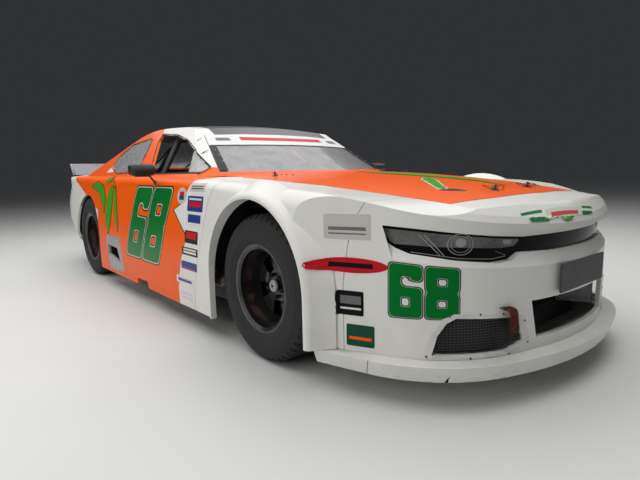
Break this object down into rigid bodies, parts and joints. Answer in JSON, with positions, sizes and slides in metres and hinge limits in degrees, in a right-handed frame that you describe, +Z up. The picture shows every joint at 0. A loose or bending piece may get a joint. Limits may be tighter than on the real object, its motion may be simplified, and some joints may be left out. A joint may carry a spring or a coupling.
{
  "type": "stock car",
  "caption": "Closed coupe stock car with composite body panels over a tube frame, wide front air dam, steered front wheels, hinged hood and deck lid, roll cage",
  "frame": {"origin": "bottom centre of the bounding box, on the ground under the middle of the car", "axes": "+X driver's left, -Y forward, +Z up"},
  "size_m": [2.22, 4.9868, 1.2567],
  "materials": {
    "arm_black": "satin",
    "axle_black": "cast",
    "cage_paint": "satin",
    "column_steel": "satin",
    "cowl_paint": "gloss",
    "dash_black": "matt",
    "deck_paint": "gloss",
    "drive_steel": "cast",
    "engine_block": "cast",
    "exhaust_plate": "satin",
    "exhaust_steel": "heat stained",
    "fender_paint": "gloss",
    "floor_metal": "satin",
    "frame_paint": "satin",
    "fuel_black": "matt",
    "grille_black": "satin",
    "hood_paint": "gloss",
    "knuckle_steel": "cast",
    "lamp_black": "gloss",
    "mirror_shell": "satin",
    "nose_paint": "gloss",
    "plate_grey": "satin",
    "quarter_glass": "tinted",
    "radiator_core": "finned",
    "rear_glass": "clear",
    "roof_paint": "gloss",
    "screen": "clear",
    "seat_shell": "woven",
    "sheet_metal": "matt",
    "side_paint": "gloss",
    "splitter_white": "worn",
    "spoiler_plate": "satin",
    "spring_steel": "satin",
    "steering_grip": "suede",
    "strap_red": "worn",
    "tail_paint": "gloss",
    "tyre": "rubber",
    "vent_glass": "clear",
    "wheel_black": "gloss"
  },
  "bodies": {
    "chassis": {"bulkheads": "sheet_metal", "cowl": "cowl_paint", "dashboard": "dash_black", "drive_line": "drive_steel", "engine": "engine_block", "exhaust": "exhaust_steel", "exhaust_plate": "exhaust_plate", "fender_left": "fender_paint", "fender_right": "fender_paint", "floor_pan": "floor_metal", "frame": "frame_paint", "front_plate": "plate_grey", "front_splitter": "splitter_white", "front_suspension": "arm_black", "fuel_cell": "fuel_black", "grille_meshes": "grille_black", "lamp_band": "lamp_black", "mirrors": "mirror_shell", "nose_fascia": "nose_paint", "quarter_windows": "quarter_glass", "radiator": "radiator_core", "rear_axle": "axle_black", "rear_fascia": "tail_paint", "rear_suspension": "spring_steel", "rear_window": "rear_glass", "roll_cage": "cage_paint", "roof": "roof_paint", "seat": "seat_shell", "side_left": "side_paint", "side_right": "side_paint", "spoiler": "spoiler_plate", "steering_column": "column_steel", "tow_strap": "strap_red", "vent_panes": "vent_glass", "windscreen": "screen"},
    "hood_lid": {"hood": "hood_paint"},
    "trunk_lid": {"deck_lid": "deck_paint"},
    "helm": {"steering_wheel": "steering_grip"},
    "upright_left": {"knuckle_left": "knuckle_steel"},
    "front_wheel_left": {"wheel_front_left": "wheel_black", "tyre_front_left": "tyre"},
    "rear_wheel_left": {"wheel_rear_left": "wheel_black", "tyre_rear_left": "tyre"},
    "upright_right": {"knuckle_right": "knuckle_steel"},
    "front_wheel_right": {"wheel_front_right": "wheel_black", "tyre_front_right": "tyre"},
    "rear_wheel_right": {"wheel_rear_right": "wheel_black", "tyre_rear_right": "tyre"}
  },
  "joints": [
    {"name": "steer_left", "type": "hinge", "parent": "chassis", "child": "upright_left", "pos_m": [0.75, -1.393, 0.345], "axis": [0, 0, 1], "range_deg": [-18, 18]},
    {"name": "front_wheel_spin_left", "type": "hinge", "parent": "upright_left", "child": "front_wheel_left", "pos_m": [0.799, -1.393, 0.345], "axis": [1, 0, 0], "continuous": true},
    {"name": "rear_wheel_spin_left", "type": "hinge", "parent": "chassis", "child": "rear_wheel_left", "pos_m": [0.799, 1.347, 0.345], "axis": [1, 0, 0], "continuous": true},
    {"name": "steer_right", "type": "hinge", "parent": "chassis", "child": "upright_right", "pos_m": [-0.75, -1.393, 0.345], "axis": [0, 0, 1], "range_deg": [-18, 18]},
    {"name": "front_wheel_spin_right", "type": "hinge", "parent": "upright_right", "child": "front_wheel_right", "pos_m": [-0.799, -1.393, 0.345], "axis": [1, 0, 0], "continuous": true},
    {"name": "rear_wheel_spin_right", "type": "hinge", "parent": "chassis", "child": "rear_wheel_right", "pos_m": [-0.799, 1.347, 0.345], "axis": [1, 0, 0], "continuous": true},
    {"name": "hood_hinge", "type": "hinge", "parent": "chassis", "child": "hood_lid", "pos_m": [0, -0.905, 0.88], "axis": [-1, 0, 0], "range_deg": [0, 50]},
    {"name": "deck_hinge", "type": "hinge", "parent": "chassis", "child": "trunk_lid", "pos_m": [0, 1.98, 0.9], "axis": [1, 0, 0], "range_deg": [0, 55]},
    {"name": "steering_turn", "type": "hinge", "parent": "chassis", "child": "helm", "pos_m": [0.38, -0.215, 0.735], "axis": [0, 0.968, 0.251], "range_deg": [-270, 270]}
  ],
  "couplings": [
    {"joint": "steer_right", "follows": "steer_left", "ratio": 1},
    {"joint": "steering_turn", "follows": "steer_left", "ratio": 15}
  ]
}
